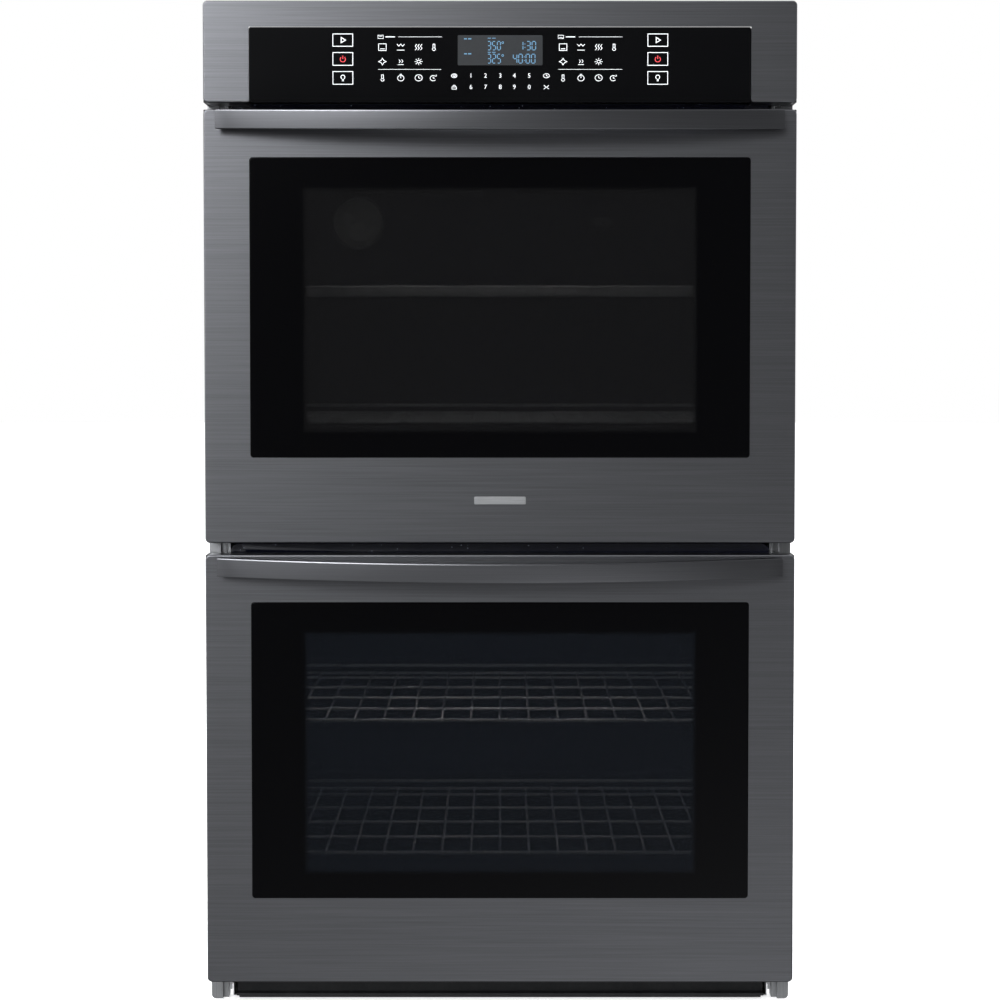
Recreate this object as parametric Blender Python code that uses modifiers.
# Built-in double wall oven: two equal cavities one above the other, each behind a
# drop-down door, under a touch-glass control panel.
# Metres. +Z up, the front faces -Y, +X is on the right of someone facing the front.
# The origin is the centre of the bounding box's bottom face.
import math

import bmesh
import bpy
from mathutils import Matrix, Vector

# Overall size.
WIDTH = 0.756
HEIGHT = 1.294
DEPTH = 0.685
GAP = 0.0003

# Planes along Y, from the handle's front at -DEPTH / 2 to the back cover.
HANDLE_PROUD = 0.059
DOOR_PROUD = 0.046
FLANGE_Y = -DEPTH / 2 + HANDLE_PROUD + DOOR_PROUD
DOOR_FRONT = FLANGE_Y - DOOR_PROUD
LINER_REAR = FLANGE_Y - 0.008
SKIN_REAR = LINER_REAR - 0.0025
BACK_Y = DEPTH / 2

# Heights of the front's fields.
CONTROL_HEIGHT = 0.1293
CONTROL_GAP = 0.0084
DOOR_HEIGHT = 0.5535
DOOR_GAP = 0.0153
CONTROL_BOTTOM = HEIGHT - CONTROL_HEIGHT
UPPER_BOTTOM = CONTROL_BOTTOM - CONTROL_GAP - DOOR_HEIGHT
LOWER_BOTTOM = UPPER_BOTTOM - DOOR_GAP - DOOR_HEIGHT
OVENS = {"upper": UPPER_BOTTOM, "lower": LOWER_BOTTOM}

# Sheet, glass and corner sizes.
SHEET = 0.001
GLASS = 0.004
DOOR_CORNER = 0.006
DOOR_EDGE = 0.0022

# Control panel.
GLASS_HALF = 0.3193
BOARD_THICK = 0.0016
CONTROL_GLASS_TOP = HEIGHT - 0.0335
HOUSING_BACK = FLANGE_Y + 0.069

# Door window, handle and hinge, heights above the door's bottom edge.
WINDOW_LOW = 0.1098
WINDOW_HIGH = 0.4925
WINDOW_CORNER = 0.004
SIGHT_HALF = 0.262
SIGHT_LOW = 0.130
SIGHT_HIGH = 0.466
PANE_MARGIN = 0.013
HANDLE_HALF = 0.3634
HANDLE_HEIGHT = 0.0245
HANDLE_THICK = 0.010
HANDLE_DROP = 0.0040
HANDLE_SAG = 0.037
HANDLE_SPANS = 16
HANDLE_POST = 0.016
HINGE_X = 0.333
HINGE_Y = FLANGE_Y - 0.0225
HINGE_UP = 0.015
PIN_R = 0.003
EYE_R = 0.0036

# Chassis.
CHASSIS_HALF = 0.3545
CHASSIS_TOP = 1.262
VENT_SLOT = (0.044, 0.005)
SIDE_VENT_Y = (0.12, 0.24)
SIDE_VENT_Z = 0.20
BACK_VENT_ROWS = (0.70, 1.16)
BACK_VENTS = 9
COVER_TOP = CHASSIS_TOP + 0.009
ENTRY = (-0.260, 0.255)
FRAME_HALF = 0.350
TRIM_SHEET = 0.0012
TRIM_LEG_X = CHASSIS_HALF + 0.0015
TRIM_STEP_X = 0.3632

# Cavity, heights above its door's bottom edge.
CAVITY_HALF = 0.315
CAVITY_LOW = 0.065
CAVITY_HIGH = 0.512
CAVITY_DEPTH = 0.513
CAVITY_CORNER = 0.018
CAVITY_BACK = FLANGE_Y + CAVITY_DEPTH
FRAME_LOW = 0.004
FRAME_HIGH = 0.565
FRAME_FRONT = FLANGE_Y - 0.0012
INSULATION = 0.029
BAKE_SPACE = 0.020
ROOF_DROP = 0.026
TERMINAL_X = 0.030
PROBE_X = 0.155
LAMP_X = -0.215
LAMP_UP = 0.440
GASKET_OUT = 0.0075

# Racks: height of each wire mat above the door's bottom edge.
RACK_PITCH = 0.043875
RACK_LEVELS = 7
RACK_LOWEST = 0.1096
RACK_PLACES = {"low": 1, "high": 5}
RACK_HALF = 0.3095
RACK_WIRE = 0.005
RACK_FRONT = FLANGE_Y + 0.022
RACK_DEPTH = 0.455
RACK_CELLS = (16, 2)
RIB_REACH = 0.012
RIB_HIGH = 0.006

# Latch, door switch, blower.
LATCH_UP = 0.541
LATCH_PIVOT_Y = FLANGE_Y + 0.032
LATCH_SLOT_HALF = 0.036
SWITCH_X = 0.290
SWITCH_R = 0.0025
BLOWER = Vector((0.0, 0.130, 1.178))
WHEEL_R = 0.062
WHEEL_HIGH = 0.034
WHEEL_BLADES = 14

for leftover in list(bpy.data.objects):
    bpy.data.objects.remove(leftover, do_unlink=True)

parts = bpy.data.collections.new("wall_oven")
tools = bpy.data.collections.new("wall_oven_cutters")
for group in (parts, tools):
    bpy.context.scene.collection.children.link(group)

STEEL = ((0.115, 0.118, 0.128), 0.95, 0.32)
TRIM_STEEL = ((0.30, 0.31, 0.33), 0.95, 0.38)
ZINC = ((0.62, 0.63, 0.64), 0.90, 0.42)
ENAMEL = ((0.012, 0.014, 0.032), 0.0, 0.22)
BLACK_GLASS = ((0.010, 0.011, 0.013), 0.0, 0.06)
CLEAR_GLASS = ((0.45, 0.48, 0.50), 0.0, 0.05)
WIRE_CHROME = ((0.72, 0.72, 0.73), 1.0, 0.22)
WOOL = ((0.72, 0.66, 0.52), 0.0, 0.95)
BRAID = ((0.05, 0.05, 0.055), 0.0, 0.85)
HEATER = ((0.16, 0.15, 0.15), 0.6, 0.55)
BOARD = ((0.03, 0.16, 0.07), 0.0, 0.55)
DARK_PLASTIC = ((0.03, 0.03, 0.033), 0.0, 0.5)
MACHINED = ((0.50, 0.50, 0.51), 0.95, 0.35)


# ---- helpers ---------------------------------------------------------------------

def file_away(obj, finish=None):
    # Parts go in the oven's collection with a material, cutters in their own.
    for owner in list(obj.users_collection):
        owner.objects.unlink(obj)
    if finish is None:
        tools.objects.link(obj)
        obj.hide_render = True
        obj.display_type = "WIRE"
        return obj
    parts.objects.link(obj)
    colour, metallic, roughness = finish
    material = bpy.data.materials.new(obj.name + "_finish")
    material.use_nodes = True
    shader = material.node_tree.nodes["Principled BSDF"]
    shader.inputs["Base Color"].default_value = (*colour, 1.0)
    shader.inputs["Metallic"].default_value = metallic
    shader.inputs["Roughness"].default_value = roughness
    material.diffuse_color = (*colour, 1.0)
    obj.data.materials.append(material)
    return obj


def from_bmesh(name, bm, finish=None):
    mesh = bpy.data.meshes.new(name)
    bm.to_mesh(mesh)
    bm.free()
    obj = bpy.data.objects.new(name, mesh)
    bpy.context.scene.collection.objects.link(obj)
    return file_away(obj, finish)


def add_block(bm, low, high):
    # One box between two corners, added to a mesh that may hold others.
    low, high = Vector(low), Vector(high)
    place = Matrix.Translation((low + high) / 2) @ Matrix.Diagonal((*(high - low), 1.0))
    return bmesh.ops.create_cube(bm, size=1.0, matrix=place)["verts"]


def blocks(name, corners, finish=None):
    bm = bmesh.new()
    for low, high in corners:
        add_block(bm, low, high)
    return from_bmesh(name, bm, finish)


def edges_along(bm, axis, keep=lambda middle: True):
    # Edges that run along one axis and whose middle passes a test.
    found = []
    for edge in bm.edges:
        run = edge.verts[1].co - edge.verts[0].co
        if abs(run[axis]) > 0.999 * run.length and keep((edge.verts[0].co + edge.verts[1].co) / 2):
            found.append(edge)
    return found


def bevel(bm, edges, width, segments):
    bmesh.ops.bevel(bm, geom=edges, offset=width, segments=segments, profile=0.5, affect="EDGES",
                    clamp_overlap=True)


def slab(name, low, high, axis, radius, finish=None, segments=3):
    # A box whose four edges along one axis are rounded.
    bm = bmesh.new()
    add_block(bm, low, high)
    bevel(bm, edges_along(bm, axis), radius, segments)
    return from_bmesh(name, bm, finish)


def pan(name, low, high, open_axis, open_high, thickness, finish, corner=0.0, edge=0.0):
    # Five walls of folded sheet. The open side is the high or low one along open_axis.
    bm = bmesh.new()
    add_block(bm, low, high)
    if corner:
        bevel(bm, edges_along(bm, open_axis), corner, 3)
    closed_at = low[open_axis] if open_high else high[open_axis]
    open_at = high[open_axis] if open_high else low[open_axis]
    if edge:
        rim = [e for e in bm.edges if all(abs(v.co[open_axis] - closed_at) < 1e-7 for v in e.verts)]
        bevel(bm, rim, edge, 2)
    lids = [f for f in bm.faces if all(abs(v.co[open_axis] - open_at) < 1e-7 for v in f.verts)]
    bmesh.ops.delete(bm, geom=lids, context="FACES")
    obj = from_bmesh(name, bm, finish)
    shell = obj.modifiers.new("sheet", "SOLIDIFY")
    shell.thickness = thickness
    shell.offset = -1.0
    shell.use_even_offset = True
    return obj


def band(points, thickness):
    # The closed outline of a bent strip: the points, and the same points moved to the
    # left of the direction of travel by the thickness, mitred at each bend.
    points = [Vector(p) for p in points]
    moved = []
    for i, point in enumerate(points):
        before = (point - points[i - 1]).normalized() if i else None
        after = (points[i + 1] - point).normalized() if i + 1 < len(points) else None
        before = before or after
        after = after or before
        left_a = Vector((-before.y, before.x))
        left_b = Vector((-after.y, after.x))
        middle = (left_a + left_b).normalized()
        moved.append(point + middle * (thickness / middle.dot(left_a)))
    return points + moved[::-1]


def prism(name, outline, axis, start, stop, finish=None):
    # A flat outline pushed along one axis. Outline coordinates are the other two axes
    # in X, Y, Z order.
    bm = bmesh.new()
    order = [i for i in range(3) if i != axis]
    ring = []
    for u, v in outline:
        spot = [0.0, 0.0, 0.0]
        spot[order[0]], spot[order[1]], spot[axis] = u, v, start
        ring.append(bm.verts.new(spot))
    bm.faces.new(ring)
    pushed = bmesh.ops.extrude_face_region(bm, geom=list(bm.faces))["geom"]
    push = Vector((0.0, 0.0, 0.0))
    push[axis] = stop - start
    bmesh.ops.translate(bm, vec=push, verts=[g for g in pushed if isinstance(g, bmesh.types.BMVert)])
    bmesh.ops.recalc_face_normals(bm, faces=bm.faces)
    return from_bmesh(name, bm, finish)


AXIS_TURN = {0: Matrix.Rotation(math.pi / 2, 4, "Y"), 1: Matrix.Rotation(-math.pi / 2, 4, "X"),
             2: Matrix.Identity(4)}


def add_rod(bm, centre, axis, radius, length, sides, tip=None):
    # A cylinder, or a cone when the tip's radius differs, along one axis.
    place = Matrix.Translation(centre) @ AXIS_TURN[axis]
    bmesh.ops.create_cone(bm, cap_ends=True, segments=sides, radius1=radius,
                          radius2=radius if tip is None else tip, depth=length, matrix=place)


def rods(name, items, axis, sides, finish=None):
    # Rods along one axis: each item is a centre, a radius and a length.
    bm = bmesh.new()
    for centre, radius, length in items:
        add_rod(bm, centre, axis, radius, length, sides)
    return from_bmesh(name, bm, finish)


def boolean(target, other, operation):
    step = target.modifiers.new(operation.lower(), "BOOLEAN")
    step.operation = operation
    step.solver = "EXACT"
    step.object = other
    return target


def cut(target, cutter):
    return boolean(target, cutter, "DIFFERENCE")


def weld_on(target, piece):
    return boolean(target, piece, "UNION")


def tube(name, points, radius, finish, closed=False, resolution=1):
    # A round wire along a list of points.
    curve = bpy.data.curves.new(name, "CURVE")
    curve.dimensions = "3D"
    curve.bevel_depth = radius
    curve.bevel_resolution = resolution
    curve.use_fill_caps = not closed
    spline = curve.splines.new("POLY")
    spline.points.add(len(points) - 1)
    for knot, point in zip(spline.points, points):
        knot.co = (*point, 1.0)
    spline.use_cyclic_u = closed
    obj = bpy.data.objects.new(name, curve)
    bpy.context.scene.collection.objects.link(obj)
    return file_away(obj, finish)


def arc(centre, radius, start, stop, steps):
    # Points on a circle in a plane, angles in degrees.
    for i in range(steps + 1):
        turn = math.radians(start + (stop - start) * i / steps)
        yield centre[0] + radius * math.cos(turn), centre[1] + radius * math.sin(turn)


def rounded_rect(half, low, high, radius, steps):
    # Outline of an upright rectangle with round corners, anticlockwise.
    corners = ((half - radius, low + radius, -90), (half - radius, high - radius, 0),
               (-half + radius, high - radius, 90), (-half + radius, low + radius, 180))
    return [p for x, z, turn in corners for p in arc((x, z), radius, turn, turn + 90, steps)]


def sides():
    return (("left", -1), ("right", 1))


def mirrored(sign, low, high):
    # A box given for the right side, put on the side that the sign names.
    xs = sorted((low[0] * sign, high[0] * sign))
    return (xs[0], low[1], low[2]), (xs[1], high[1], high[2])


# ---- chassis ---------------------------------------------------------------------

def make_base():
    # Formed bottom sheet whose two channels are the skids the oven stands on.
    half = CHASSIS_HALF - SHEET - 0.002
    foot = half - 0.040
    line = [(-half, 0.030), (-half, 0.0), (-foot, 0.0), (-foot, 0.010), (foot, 0.010),
            (foot, 0.0), (half, 0.0), (half, 0.030)]
    prism("base_pan", band(line, 0.0012), 1, FLANGE_Y + 0.0145, BACK_Y - 0.006, ZINC)


def make_side_panels():
    # Outer walls with a bright return at the front and a folded edge at the back.
    back = BACK_Y - 0.0035
    for side, sign in sides():
        line = [(FRAME_HALF + 0.0008, FLANGE_Y + 0.001), (CHASSIS_HALF, FLANGE_Y + 0.001),
                (CHASSIS_HALF, back), (CHASSIS_HALF - 0.014, back)]
        outline = [(x * sign, y) for x, y in band(line, SHEET)]
        panel = prism("side_panel_" + side, outline, 2, 0.012, CHASSIS_TOP, ZINC)
        slots = []
        for row in range(5):
            low = SIDE_VENT_Z + 0.012 * row
            slots.append(mirrored(sign, (CHASSIS_HALF - 0.004, SIDE_VENT_Y[0], low),
                                  (CHASSIS_HALF + 0.004, SIDE_VENT_Y[1], low + VENT_SLOT[1])))
        cut(panel, blocks("side_slots_" + side, slots))


def make_back_cover():
    # Flat cover with a shallow folded rim and two rows of vent slots.
    half = CHASSIS_HALF - 0.0025
    low, high, rim = 0.032, CHASSIS_TOP - 0.002, 0.014
    cover = blocks("back_cover", [((-half, BACK_Y - 0.003, low), (half, BACK_Y, high))], ZINC)
    cut(cover, blocks("back_hollow", [((-half + rim, BACK_Y - 0.01, low + rim),
                                       (half - rim, BACK_Y - SHEET, high - rim))]))
    slots = []
    for row in BACK_VENT_ROWS:
        for i in range(BACK_VENTS):
            x = (i - (BACK_VENTS - 1) / 2) * 0.060
            slots.append(((x - VENT_SLOT[0] / 2, BACK_Y - 0.02, row),
                          (x + VENT_SLOT[0] / 2, BACK_Y + 0.01, row + 0.008)))
    cut(cover, blocks("back_slots", slots))


def make_top_cover():
    # Lid over the component space, with the supply entry at its rear left corner.
    low = (-CHASSIS_HALF, FLANGE_Y + 0.070, CHASSIS_TOP + GAP)
    high = (CHASSIS_HALF, BACK_Y - 0.0005, COVER_TOP)
    lid = pan("top_cover", low, high, 2, False, SHEET, ZINC)
    cut(lid, rods("supply_hole", [((*ENTRY, CHASSIS_TOP), 0.0145, 0.06)], 2, 20))


def make_mid_deck():
    # Divider sheet that carries the upper cavity over the lower one.
    half = CHASSIS_HALF - SHEET - 0.0008
    deck = LOWER_BOTTOM + CAVITY_HIGH + INSULATION + 0.0065
    line = [(-half, deck + 0.014), (-half, deck), (half, deck), (half, deck + 0.014)]
    prism("mid_deck", band(line, SHEET), 1, FLANGE_Y + 0.030, BACK_Y - 0.006, ZINC)


def make_side_trims():
    # Upright cabinet trims: a flat flange in front of the cabinet face, a step, and a
    # leg that runs back along the chassis.
    for side, sign in sides():
        line = [(TRIM_LEG_X, FLANGE_Y + 0.024), (TRIM_LEG_X, FLANGE_Y + 0.006),
                (TRIM_STEP_X, FLANGE_Y + 0.006), (TRIM_STEP_X, FLANGE_Y - TRIM_SHEET),
                (WIDTH / 2, FLANGE_Y - TRIM_SHEET)]
        outline = [(x * sign, y) for x, y in band(line, TRIM_SHEET)]
        prism("side_trim_" + side, outline, 2, 0.0, CONTROL_BOTTOM + 0.10, TRIM_STEEL)


def make_bottom_trim():
    # Lip under the lower door, then a dark recessed riser behind it.
    line = [(FLANGE_Y - 0.0012, 0.0018), (FLANGE_Y - 0.0012, 0.0070), (FLANGE_Y + 0.012, 0.0070),
            (FLANGE_Y + 0.012, LOWER_BOTTOM)]
    prism("bottom_vent_trim", band(line[::-1], SHEET), 0, -0.3455, 0.3455, STEEL)


# ---- control panel ---------------------------------------------------------------

def make_control_panel():
    low = (-WIDTH / 2, DOOR_FRONT, CONTROL_BOTTOM)
    high = (WIDTH / 2, FLANGE_Y - 0.002, HEIGHT)
    trim = pan("control_trim", low, high, 1, True, TRIM_SHEET, STEEL, DOOR_CORNER, DOOR_EDGE)
    half = GLASS_HALF + GAP
    cut(trim, blocks("control_window", [((-half, DOOR_FRONT - 0.01, CONTROL_BOTTOM - 0.01),
                                          (half, FLANGE_Y + 0.01, CONTROL_GLASS_TOP + GAP))]))
    slab("control_glass", (-GLASS_HALF, DOOR_FRONT + GAP, CONTROL_BOTTOM + GAP),
         (GLASS_HALF, DOOR_FRONT + GAP + GLASS, CONTROL_GLASS_TOP), 1, 0.002, BLACK_GLASS, 2)
    pan("control_housing", (-0.346, DOOR_FRONT + 0.012, CONTROL_BOTTOM + 0.006),
        (0.346, HOUSING_BACK, CHASSIS_TOP - 0.002), 1, False, SHEET, ZINC)
    make_display()
    make_relay_board()


def make_display():
    # Touch board close behind the glass, with the display's block on its rear.
    front = DOOR_FRONT + 0.0048
    board = blocks("display_module", [((-0.110, front, CONTROL_BOTTOM + 0.012),
                                       (0.110, front + BOARD_THICK, CONTROL_BOTTOM + 0.088))], BOARD)
    weld_on(board, blocks("display_block", [((-0.056, front + 0.0012, CONTROL_BOTTOM + 0.042),
                                             (0.056, front + 0.0132, CONTROL_BOTTOM + 0.084))]))


def make_relay_board():
    # Power board on the housing's rear wall: a row of relays and a transformer.
    front = HOUSING_BACK - 0.011
    low = CONTROL_BOTTOM + 0.010
    board = blocks("relay_board", [((-0.150, front, low), (0.150, front + BOARD_THICK, low + 0.080))], BOARD)
    root = front + BOARD_THICK / 2
    relays = [((x, front - 0.018, low + 0.010), (x + 0.020, root, low + 0.038))
              for x in (-0.13, -0.10, -0.07, -0.04, -0.01)]
    transformer = ((0.05, front - 0.030, low + 0.012), (0.11, root, low + 0.060))
    weld_on(board, blocks("relays", relays + [transformer]))


def make_conduit():
    # Supply entry: a plate with a threaded conduit gland standing on it.
    x, y = ENTRY
    base = COVER_TOP + GAP
    half = 0.040
    plate = slab("conduit_plate", (x - half, y - half, base), (x + half, y + half, base + 0.003), 2, 0.008,
                 MACHINED)
    weld_on(plate, rods("gland_nut", [((x, y, base + 0.008), 0.017, 0.012)], 2, 6))
    weld_on(plate, rods("gland_neck", [((x, y, base + 0.001), 0.0135, 0.034)], 2, 20))
    cut(plate, rods("gland_bore", [((x, y, base), 0.0105, 0.08)], 2, 20))


# ---- cavities --------------------------------------------------------------------

def rack_height(place):
    return RACK_LOWEST + place * RACK_PITCH


def make_cavity(oven, floor):
    low, high = floor + CAVITY_LOW, floor + CAVITY_HIGH
    box = slab(oven + "_cavity", (-CAVITY_HALF - SHEET, FLANGE_Y - 0.0005, low - SHEET),
               (CAVITY_HALF + SHEET, CAVITY_BACK + SHEET, high + SHEET), 1, CAVITY_CORNER + SHEET, ENAMEL)
    weld_on(box, slab(oven + "_front_frame", (-FRAME_HALF, FRAME_FRONT, floor + FRAME_LOW),
                      (FRAME_HALF, FLANGE_Y, floor + FRAME_HIGH), 1, 0.012))
    cut(box, slab(oven + "_cavity_space", (-CAVITY_HALF, FLANGE_Y - 0.05, low),
                  (CAVITY_HALF, CAVITY_BACK, high), 1, CAVITY_CORNER))
    ribs = []
    for level in range(RACK_LEVELS):
        top = floor + rack_height(level) - RACK_WIRE / 2 - GAP
        for _, sign in sides():
            ribs.append(mirrored(sign, (CAVITY_HALF - RIB_REACH, FLANGE_Y + 0.030, top - RIB_HIGH),
                                 (CAVITY_HALF + SHEET / 2, CAVITY_BACK - 0.030, top)))
    weld_on(box, blocks(oven + "_ribs", ribs))
    pivot = floor + HINGE_UP
    slots = [mirrored(sign, (HINGE_X - 0.0025, FLANGE_Y - 0.02, pivot - 0.0075),
                      (HINGE_X + 0.0025, FLANGE_Y + 0.02, pivot + 0.0075)) for _, sign in sides()]
    slots.append(((-LATCH_SLOT_HALF, FLANGE_Y - 0.02, floor + LATCH_UP - 0.004),
                  (LATCH_SLOT_HALF, FLANGE_Y + 0.02, floor + LATCH_UP + 0.004)))
    cut(box, blocks(oven + "_frame_slots", slots))
    holes = [((SWITCH_X, FLANGE_Y, floor + LATCH_UP), SWITCH_R + 0.0008, 0.02)]
    holes += [((x, CAVITY_BACK, z), r, 0.02) for x, z, r in back_holes(floor)]
    cut(box, rods(oven + "_holes", holes, 1, 12))


def back_holes(floor):
    # Holes in the rear wall: two element terminals and the temperature probe.
    high = floor + CAVITY_HIGH - ROOF_DROP
    return [(-TERMINAL_X, high, 0.0048), (TERMINAL_X, high, 0.0048), (PROBE_X, floor + LAMP_UP, 0.0042)]


def make_insulation(oven, floor):
    # Mineral wool wrap, open at the front, with room under the floor for the bake
    # element, a notch for the latch and one for each hinge.
    space = 0.0015
    low = floor + CAVITY_LOW - SHEET - BAKE_SPACE
    high = floor + CAVITY_HIGH + SHEET + space
    half = CAVITY_HALF + SHEET + space
    rear = CAVITY_BACK + SHEET + space
    front = FLANGE_Y - 0.02
    above = high + INSULATION + 0.01
    wrap = blocks(oven + "_insulation", [((-half - INSULATION, FLANGE_Y + 0.004, low - INSULATION + 0.006),
                                          (half + INSULATION, rear + INSULATION, high + INSULATION))], WOOL)
    cut(wrap, blocks(oven + "_wrap_space", [((-half, front, low), (half, rear, high))]))
    notches = [((-0.052, front, high - 0.010), (0.052, FLANGE_Y + 0.110, above)),
               ((SWITCH_X - 0.012, front, floor + LATCH_UP - 0.008),
                (SWITCH_X + 0.012, FLANGE_Y + 0.045, above))]
    for _, sign in sides():
        notches.append(mirrored(sign, (half - 0.004, front, low - INSULATION - 0.01),
                                (half + INSULATION + 0.01, FLANGE_Y + 0.105, floor + 0.090)))
    cut(wrap, blocks(oven + "_wrap_notches", notches))
    rear = [((x, CAVITY_BACK + 0.02, z), r + 0.002, 0.08) for x, z, r in back_holes(floor)]
    cut(wrap, rods(oven + "_wrap_holes", rear, 1, 10))


def serpentine(half, front, rear, passes, height, bend):
    # Centre line of a heater: runs to and fro in Y, joined by half circles.
    pitch = 2 * half / (passes - 1)
    line = []
    for i in range(passes):
        x = -half + pitch * i
        start, stop, bulge = (rear, front, -1) if i % 2 == 0 else (front, rear, 1)
        line += [(x, start, height), (x, stop, height)]
        if i + 1 < passes:
            for u, v in list(arc((x + pitch / 2, 0.0), pitch / 2, 180, 0, bend))[1:-1]:
                line.append((u, stop + bulge * v, height))
    return line


def make_heaters(oven, floor):
    # Broil element under the roof, its two ends led back out through the rear wall,
    # and the hidden bake element under the floor.
    high = floor + CAVITY_HIGH - ROOF_DROP
    front, rear = FLANGE_Y + 0.075, CAVITY_BACK - 0.095
    cross, out = CAVITY_BACK - 0.030, CAVITY_BACK + 0.022
    loop = serpentine(0.225, front, rear, 6, high, 4)
    lead_in = [(-TERMINAL_X, out, high), (-TERMINAL_X, cross, high), (loop[0][0], cross, high)]
    lead_out = [(loop[-1][0], cross, high), (TERMINAL_X, cross, high), (TERMINAL_X, out, high)]
    tube(oven + "_broil_element", lead_in + loop + lead_out, 0.0032, HEATER)
    under = floor + CAVITY_LOW - SHEET - BAKE_SPACE / 2
    tube(oven + "_bake_element", serpentine(0.220, front, rear, 6, under, 4), 0.0035, HEATER)


def make_gasket(oven, floor):
    ring = rounded_rect(CAVITY_HALF + GASKET_OUT, floor + CAVITY_LOW - GASKET_OUT,
                        floor + CAVITY_HIGH + GASKET_OUT, 0.022, 4)
    radius = 0.003
    y = FRAME_FRONT - GAP - radius
    tube(oven + "_gasket", [(x, y, z) for x, z in ring], radius, BRAID, closed=True, resolution=2)


def make_lamp_and_probe(oven, floor):
    # Domed lamp lens and slim temperature probe on the rear wall.
    bm = bmesh.new()
    centre = Vector((LAMP_X, CAVITY_BACK - GAP, floor + LAMP_UP))
    add_rod(bm, centre - Vector((0, 0.003, 0)), 1, 0.036, 0.006, 24)
    lens = from_bmesh(oven + "_lamp_lens", bm, CLEAR_GLASS)
    bm = bmesh.new()
    add_rod(bm, centre - Vector((0, 0.0115, 0)), 1, 0.020, 0.013, 24, tip=0.032)
    weld_on(lens, from_bmesh(oven + "_lens_dome", bm))
    x, z, _ = back_holes(floor)[2]
    stem = ((x, CAVITY_BACK - 0.030, z), 0.003, 0.095)
    probe = rods(oven + "_temperature_probe", [stem], 1, 10, MACHINED)
    weld_on(probe, blocks(oven + "_probe_plate", [((x - 0.016, CAVITY_BACK - GAP - 0.0015, z - 0.008),
                                                   (x + 0.016, CAVITY_BACK - GAP, z + 0.008))]))


def make_rack(name, height):
    # Wire mat: a lattice of square wires, one closed body.
    bm = bmesh.new()
    across, along = RACK_CELLS
    rear = RACK_FRONT + RACK_DEPTH
    centre = Matrix.Translation((0.0, (RACK_FRONT + rear) / 2, height + RACK_WIRE / 2))
    scale = Matrix.Diagonal((2 * RACK_HALF, RACK_DEPTH, 1.0, 1.0))
    bmesh.ops.create_grid(bm, x_segments=across, y_segments=along, size=0.5, matrix=centre @ scale)
    bmesh.ops.inset_individual(bm, faces=list(bm.faces), thickness=RACK_WIRE / 2, use_even_offset=True)
    cell = 2 * RACK_HALF * RACK_DEPTH / (across * along)
    holes = [f for f in bm.faces if f.calc_area() > cell / 2]
    bmesh.ops.delete(bm, geom=holes, context="FACES")
    mat = from_bmesh(name, bm, WIRE_CHROME)
    shell = mat.modifiers.new("wire", "SOLIDIFY")
    shell.thickness = RACK_WIRE
    shell.offset = -1.0
    return mat


# ---- latch, switch, hinge brackets -----------------------------------------------

def make_latch(oven, floor):
    # Hook that swings on an upright pin, its motor below it, and the switch plunger.
    up = floor + LATCH_UP
    tip = FLANGE_Y - DOOR_PROUD / 2
    root = LATCH_PIVOT_Y + 0.008
    outline = [(-0.005, root), (-0.005, tip), (0.010, tip), (0.010, tip + 0.005), (0.004, tip + 0.008),
               (0.005, root)]
    hook = prism(oven + "_latch_hook", outline, 2, up - 0.001, up + 0.001, MACHINED)
    weld_on(hook, rods(oven + "_latch_pin", [((0, LATCH_PIVOT_Y, up - 0.005), 0.0025, 0.010)], 2, 12))
    base = floor + CAVITY_HIGH + SHEET + GAP
    motor = slab(oven + "_latch_motor", (-0.028, LATCH_PIVOT_Y - 0.015, base),
                 (0.028, LATCH_PIVOT_Y + 0.050, up - 0.0015), 2, 0.006, ZINC)
    cut(motor, rods(oven + "_latch_bore", [((0, LATCH_PIVOT_Y, up), 0.0032, 0.024)], 2, 12))
    plunger = ((SWITCH_X, LINER_REAR + 0.0157, up), SWITCH_R, 0.030)
    rods(oven + "_door_switch", [plunger], 1, 12, DARK_PLASTIC)


def make_hinge_brackets(oven, floor):
    # Fixed half of each hinge: a plate behind the front frame whose nose reaches the
    # pivot, and the pin.
    pivot = floor + HINGE_UP
    nose = 0.006
    back = FLANGE_Y + 0.095
    for side, sign in sides():
        round_end = [(HINGE_Y - nose * math.sin(math.radians(a)), pivot + nose * math.cos(math.radians(a)))
                     for a in range(0, 181, 30)]
        outline = round_end + [(FLANGE_Y + 0.004, pivot - nose), (back, pivot - nose), (back, pivot + 0.062),
                               (FLANGE_Y + 0.012, pivot + 0.062), (FLANGE_Y + 0.004, pivot + nose)]
        name = oven + "_hinge_bracket_" + side
        xs = sorted((sign * (HINGE_X - 0.0015), sign * (HINGE_X + 0.0015)))
        plate = prism(name, outline, 0, xs[0], xs[1], MACHINED)
        pin = ((sign * (HINGE_X + 0.0030), HINGE_Y, pivot), PIN_R, 0.0080)
        weld_on(plate, rods(name + "_pin", [pin], 0, 16))


# ---- doors -----------------------------------------------------------------------

def make_door(oven, floor):
    make_door_front(oven, floor)
    make_door_inside(oven, floor)
    make_hinge_arms(oven, floor + HINGE_UP)
    make_handle(oven, floor + DOOR_HEIGHT)


def hinge_slots(floor):
    # Slots in the door's lower rear edge that the fixed hinge plates pass through.
    low = (HINGE_X - 0.0030, HINGE_Y - 0.009, floor - 0.002)
    high = (HINGE_X + 0.0055, LINER_REAR + 0.002, floor + HINGE_UP + 0.009)
    return [mirrored(sign, low, high) for _, sign in sides()]


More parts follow.
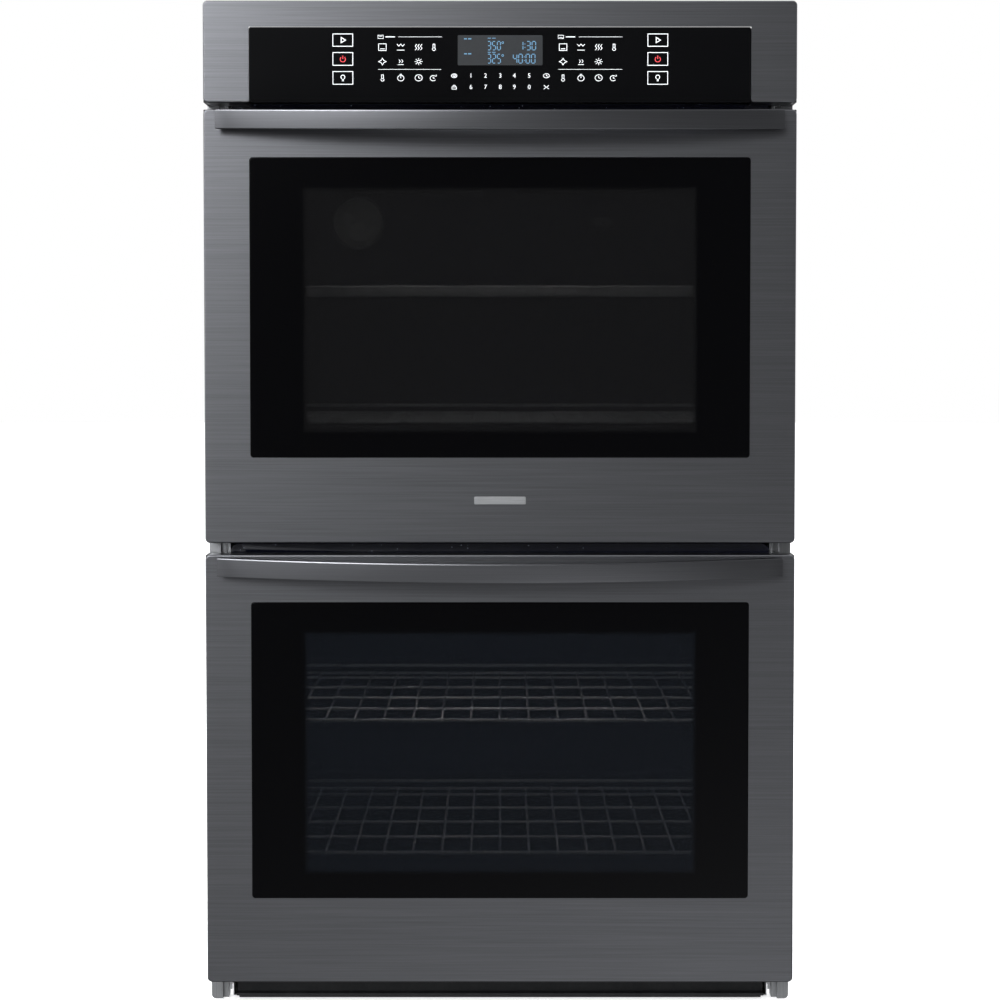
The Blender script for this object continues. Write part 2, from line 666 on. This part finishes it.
def make_door_front(oven, floor):
    # Brushed skin with its window cut-out, and the printed glass set flush in it.
    skin = pan(oven + "_door_skin", (-WIDTH / 2, DOOR_FRONT, floor),
               (WIDTH / 2, SKIN_REAR, floor + DOOR_HEIGHT), 1, True, SHEET, STEEL, DOOR_CORNER, DOOR_EDGE)
    cut(skin, slab(oven + "_window_cut", (-GLASS_HALF - GAP, DOOR_FRONT - 0.01, floor + WINDOW_LOW - GAP),
                   (GLASS_HALF + GAP, DOOR_FRONT + 0.01, floor + WINDOW_HIGH + GAP), 1, WINDOW_CORNER))
    cut(skin, blocks(oven + "_skin_slots", hinge_slots(floor)))
    slab(oven + "_door_glass", (-GLASS_HALF, DOOR_FRONT + GAP, floor + WINDOW_LOW),
         (GLASS_HALF, DOOR_FRONT + GAP + GLASS, floor + WINDOW_HIGH), 1, WINDOW_CORNER, BLACK_GLASS)


def make_door_inside(oven, floor):
    # Enamelled inner panel with its sight opening, and the inner pane in front of it.
    inset = SHEET + 0.0008
    liner = pan(oven + "_door_liner", (-WIDTH / 2 + inset, LINER_REAR - 0.012, floor + 0.006),
                (WIDTH / 2 - inset, LINER_REAR, floor + DOOR_HEIGHT - inset), 1, False, SHEET, ENAMEL,
                DOOR_CORNER - SHEET)
    cut(liner, slab(oven + "_sight_cut", (-SIGHT_HALF, LINER_REAR - 0.02, floor + SIGHT_LOW),
                    (SIGHT_HALF, LINER_REAR + 0.01, floor + SIGHT_HIGH), 1, 0.010))
    latch_slot = ((-LATCH_SLOT_HALF, LINER_REAR - 0.02, floor + LATCH_UP - 0.004),
                  (LATCH_SLOT_HALF, LINER_REAR + 0.002, floor + LATCH_UP + 0.004))
    cut(liner, blocks(oven + "_liner_slots", hinge_slots(floor) + [latch_slot]))
    front = LINER_REAR - SHEET - GAP - GLASS
    half = SIGHT_HALF + PANE_MARGIN
    slab(oven + "_inner_glass", (-half, front, floor + SIGHT_LOW - PANE_MARGIN),
         (half, front + GLASS, floor + SIGHT_HIGH + PANE_MARGIN), 1, 0.004, CLEAR_GLASS)


def make_hinge_arms(oven, pivot):
    # Moving half of each hinge: an arm inside the door with an eye round the pin.
    eye = 0.008
    top = pivot + 0.170
    start = HINGE_X + 0.0020
    for side, sign in sides():
        round_end = [(HINGE_Y + eye * math.cos(math.radians(a)), pivot + eye * math.sin(math.radians(a)))
                     for a in range(180, 361, 30)]
        outline = round_end + [(HINGE_Y + eye, top), (HINGE_Y - eye, top)]
        xs = sorted((sign * start, sign * (start + 0.0025)))
        name = oven + "_hinge_arm_" + side
        arm = prism(name, outline, 0, xs[0], xs[1], MACHINED)
        web = mirrored(sign, (start + 0.0020, HINGE_Y - eye, pivot + 0.030),
                       (start + 0.020, HINGE_Y - eye + 0.0025, top))
        weld_on(arm, blocks(name + "_web", [web]))
        bore = ((sign * (start + 0.001), HINGE_Y, pivot), EYE_R, 0.010)
        cut(arm, rods(name + "_eye", [bore], 0, 16))


def bow(x):
    # How far the handle's bar stands back from its middle, on a circle.
    radius = (HANDLE_HALF ** 2 + HANDLE_SAG ** 2) / (2 * HANDLE_SAG)
    return radius - math.sqrt(radius ** 2 - x ** 2)


def make_handle(oven, door_top):
    # Bowed flat bar with a solid foot at each end.
    high = door_top - HANDLE_DROP
    front = -DEPTH / 2
    bm = bmesh.new()
    add_block(bm, (-HANDLE_HALF, front, high - HANDLE_HEIGHT), (HANDLE_HALF, front + HANDLE_THICK, high))
    bmesh.ops.subdivide_edges(bm, edges=edges_along(bm, 0), cuts=HANDLE_SPANS - 1, use_grid_fill=True)
    for vert in bm.verts:
        vert.co.y += bow(vert.co.x)
    bar = from_bmesh(oven + "_handle", bm, STEEL)
    soften = bar.modifiers.new("edges", "BEVEL")
    soften.width = 0.0018
    soften.segments = 1
    soften.limit_method = "ANGLE"
    soften.angle_limit = math.radians(40)
    feet = []
    for _, sign in sides():
        low_corner = (HANDLE_HALF - HANDLE_POST, front + HANDLE_SAG + 0.004, high - HANDLE_HEIGHT + 0.003)
        feet.append(mirrored(sign, low_corner, (HANDLE_HALF - 0.002, DOOR_FRONT - GAP, high - 0.003)))
    weld_on(bar, blocks(oven + "_handle_feet", feet))


# ---- blower ----------------------------------------------------------------------

def volute(x0, y0, outlet):
    # Spiral outline that opens into a straight outlet towards the front.
    steps, turn = 14, 270
    spiral = []
    for i in range(steps + 1):
        radius = 0.072 + 0.022 * i / steps
        angle = math.radians(180 - turn * i / steps)
        spiral.append((x0 + radius * math.cos(angle), y0 + radius * math.sin(angle)))
    return [(spiral[0][0], outlet)] + spiral + [(x0 + 0.045, spiral[-1][1]), (x0 + 0.045, outlet)]


def make_blower_housing(roof):
    # Folded casing, open underneath and at its outlet, with a hole for the shaft.
    x0, y0, z0 = BLOWER
    rim = z0 - 0.004
    outlet = y0 - 0.125
    bm = bmesh.new()
    bm.faces.new([bm.verts.new((x, y, rim)) for x, y in volute(x0, y0, outlet)])
    raised = bmesh.ops.extrude_face_region(bm, geom=list(bm.faces))["geom"]
    top = [g for g in raised if isinstance(g, bmesh.types.BMVert)]
    bmesh.ops.translate(bm, vec=(0, 0, roof - rim), verts=top)
    bmesh.ops.recalc_face_normals(bm, faces=bm.faces)
    opened = [f for f in bm.faces
              if f.calc_center_median().z < rim + 0.001 or abs(f.calc_center_median().y - outlet) < 1e-6]
    bmesh.ops.delete(bm, geom=opened, context="FACES")
    casing = from_bmesh("blower_housing", bm, ZINC)
    shell = casing.modifiers.new("sheet", "SOLIDIFY")
    shell.thickness = SHEET
    shell.offset = -1.0
    cut(casing, rods("blower_shaft_hole", [((x0, y0, roof), 0.009, 0.02)], 2, 16))


def make_blower():
    # Volute casing, a motor on its roof, and a paddle wheel hanging on the motor's axis.
    x0, y0, z0 = BLOWER
    roof = z0 + WHEEL_HIGH + 0.012
    make_blower_housing(roof)
    motor = rods("blower_motor", [((x0, y0, roof + GAP + 0.015), 0.034, 0.030)], 2, 24, DARK_PLASTIC)
    cut(motor, rods("motor_bore", [((x0, y0, roof), 0.0038, 0.030)], 2, 12))

    disc = ((x0, y0, z0 + WHEEL_HIGH - 0.001), WHEEL_R, 0.002)
    wheel = rods("blower_wheel", [disc], 2, 28, DARK_PLASTIC)
    bm = bmesh.new()
    for i in range(WHEEL_BLADES):
        turn = Matrix.Rotation(2 * math.pi * i / WHEEL_BLADES, 4, "Z")
        verts = add_block(bm, (0.036, -0.0012, 0.0), (WHEEL_R - 0.001, 0.0012, WHEEL_HIGH - 0.0005))
        bmesh.ops.transform(bm, matrix=Matrix.Translation(BLOWER) @ turn, verts=verts)
    weld_on(wheel, from_bmesh("wheel_blades", bm))
    weld_on(wheel, rods("wheel_hub", [((x0, y0, z0 + WHEEL_HIGH - 0.008), 0.010, 0.018)], 2, 16))
    weld_on(wheel, rods("wheel_shaft", [((x0, y0, z0 + WHEEL_HIGH + 0.006), 0.003, 0.026)], 2, 12))


make_base()
make_side_panels()
make_back_cover()
make_top_cover()
make_mid_deck()
make_side_trims()
make_bottom_trim()
make_control_panel()
make_conduit()
make_blower()
for oven_name, door_bottom in OVENS.items():
    make_cavity(oven_name, door_bottom)
    make_insulation(oven_name, door_bottom)
    make_heaters(oven_name, door_bottom)
    make_gasket(oven_name, door_bottom)
    make_lamp_and_probe(oven_name, door_bottom)
    for spot, place_number in RACK_PLACES.items():
        make_rack(f"{oven_name}_rack_{spot}", door_bottom + rack_height(place_number))
    make_latch(oven_name, door_bottom)
    make_hinge_brackets(oven_name, door_bottom)
    make_door(oven_name, door_bottom)
